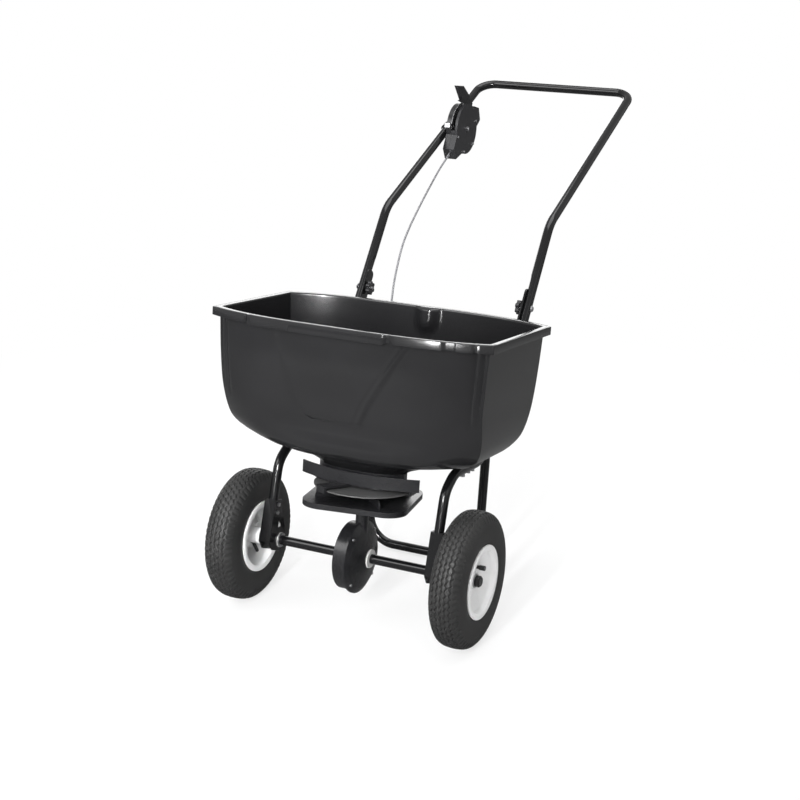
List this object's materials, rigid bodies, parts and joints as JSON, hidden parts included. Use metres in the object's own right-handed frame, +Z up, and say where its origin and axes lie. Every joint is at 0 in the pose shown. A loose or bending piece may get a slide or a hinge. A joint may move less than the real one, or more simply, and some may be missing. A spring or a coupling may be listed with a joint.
{
  "type": "lawn spreader",
  "caption": "Push-along broadcast spreader: wide hopper on a two-wheeled tube frame with a stand, an impeller geared to the axle, and a folding handle with a lever control.",
  "frame": {"origin": "on the ground, midway between the wheels, straight below the axle", "axes": "+X along the axle to the right-hand side in the picture, +Y backwards towards the handle, +Z up"},
  "size_m": [0.67, 1.374, 1.0599],
  "materials": {
    "black_plastic": "satin black moulded plastic",
    "grey_plastic": "dark grey moulded plastic",
    "white_plastic": "off-white moulded plastic",
    "black_paint": "gloss black powder coat",
    "steel": "zinc plated steel",
    "zinc_sheet": "bright zinc plated sheet",
    "tyre_rubber": "black tyre rubber",
    "rubber": "black rubber",
    "rim_paint": "light grey gloss paint",
    "cable_sheath": "grey vinyl sheath"
  },
  "bodies": {
    "chassis": {"hopper": "black_plastic", "hopper_floor": "black_plastic", "fan_shroud": "black_plastic", "hopper_feet": "black_plastic", "hopper_bolts": "steel", "floor_bush": "white_plastic", "gearbox_left_shell": "black_plastic", "gearbox_right_shell": "black_plastic", "gearbox_screws": "steel", "gearbox_bushes": "white_plastic", "boss_bush": "white_plastic", "axle_bushes": "white_plastic", "left_axle_bracket": "black_paint", "right_axle_bracket": "black_paint", "bracket_bolts": "steel", "left_frame_tube": "black_paint", "right_frame_tube": "black_paint", "cross_bar": "black_paint", "frame_bolts": "steel", "stand": "black_paint", "cable_bracket": "black_plastic", "control_cable": "cable_sheath"},
    "axle": {"axle_shaft": "steel", "axle_spacers": "black_paint", "axle_washers": "steel", "axle_caps": "black_plastic", "drive_pin": "steel", "crown_gear": "white_plastic", "right_tyre": "tyre_rubber", "right_inner_tube": "rubber", "right_rim": "rim_paint", "right_valve_cap": "black_plastic", "right_hub_bushes": "white_plastic"},
    "free_wheel": {"left_tyre": "tyre_rubber", "left_inner_tube": "rubber", "left_rim": "rim_paint", "left_valve_cap": "black_plastic", "left_hub_bushes": "white_plastic"},
    "impeller_set": {"impeller_shaft": "steel", "impeller": "black_plastic", "agitator": "steel", "shaft_pins": "steel", "pinion": "white_plastic"},
    "gate": {"gate_disc": "zinc_sheet", "gate_wire": "steel"},
    "handle_set": {"handle": "black_paint", "fold_bolts": "steel", "control_housing": "black_plastic", "control_cover": "grey_plastic", "control_clamp": "black_plastic", "control_screws": "steel", "control_bolt": "steel", "rate_scale": "zinc_sheet", "control_gland": "steel"},
    "lever": {"control_lever": "black_plastic"},
    "stop": {"rate_stop": "zinc_sheet"},
    "knob_left": {"left_knob": "black_plastic"},
    "knob_right": {"right_knob": "black_plastic"}
  },
  "joints": [
    {"name": "axle_spin", "type": "hinge", "parent": "chassis", "child": "axle", "pos_m": [0, 0, 0.1525], "axis": [1, 0, 0], "continuous": true},
    {"name": "free_wheel_spin", "type": "hinge", "parent": "chassis", "child": "free_wheel", "pos_m": [0, 0, 0.1525], "axis": [1, 0, 0], "continuous": true},
    {"name": "impeller_spin", "type": "hinge", "parent": "chassis", "child": "impeller_set", "pos_m": [0.012, 0.02163, 0.29385], "axis": [0, 0.1513, 0.9885], "continuous": true},
    {"name": "gate_turn", "type": "hinge", "parent": "chassis", "child": "gate", "pos_m": [0.012, 0.02163, 0.29385], "axis": [0, 0.1513, 0.9885], "range_deg": [0, 36]},
    {"name": "handle_fold", "type": "hinge", "parent": "chassis", "child": "handle_set", "pos_m": [0, 0.4719, 0.63163], "axis": [1, 0, 0], "range_deg": [0, 110]},
    {"name": "lever_turn", "type": "hinge", "parent": "handle_set", "child": "lever", "pos_m": [-0.188, 1.00644, 0.93831], "axis": [1, 0, 0], "range_deg": [0, 72]},
    {"name": "rate_stop_turn", "type": "hinge", "parent": "handle_set", "child": "stop", "pos_m": [-0.196, 1.00644, 0.93831], "axis": [1, 0, 0], "range_deg": [-70, 0]},
    {"name": "left_knob_turn", "type": "hinge", "parent": "handle_set", "child": "knob_left", "pos_m": [-0.198, 0.4719, 0.63163], "axis": [1, 0, 0], "continuous": true},
    {"name": "right_knob_turn", "type": "hinge", "parent": "handle_set", "child": "knob_right", "pos_m": [0.198, 0.4719, 0.63163], "axis": [1, 0, 0], "continuous": true}
  ],
  "couplings": [
    {"joint": "impeller_spin", "follows": "axle_spin", "ratio": 6},
    {"joint": "gate_turn", "follows": "lever_turn", "ratio": 0.5}
  ]
}
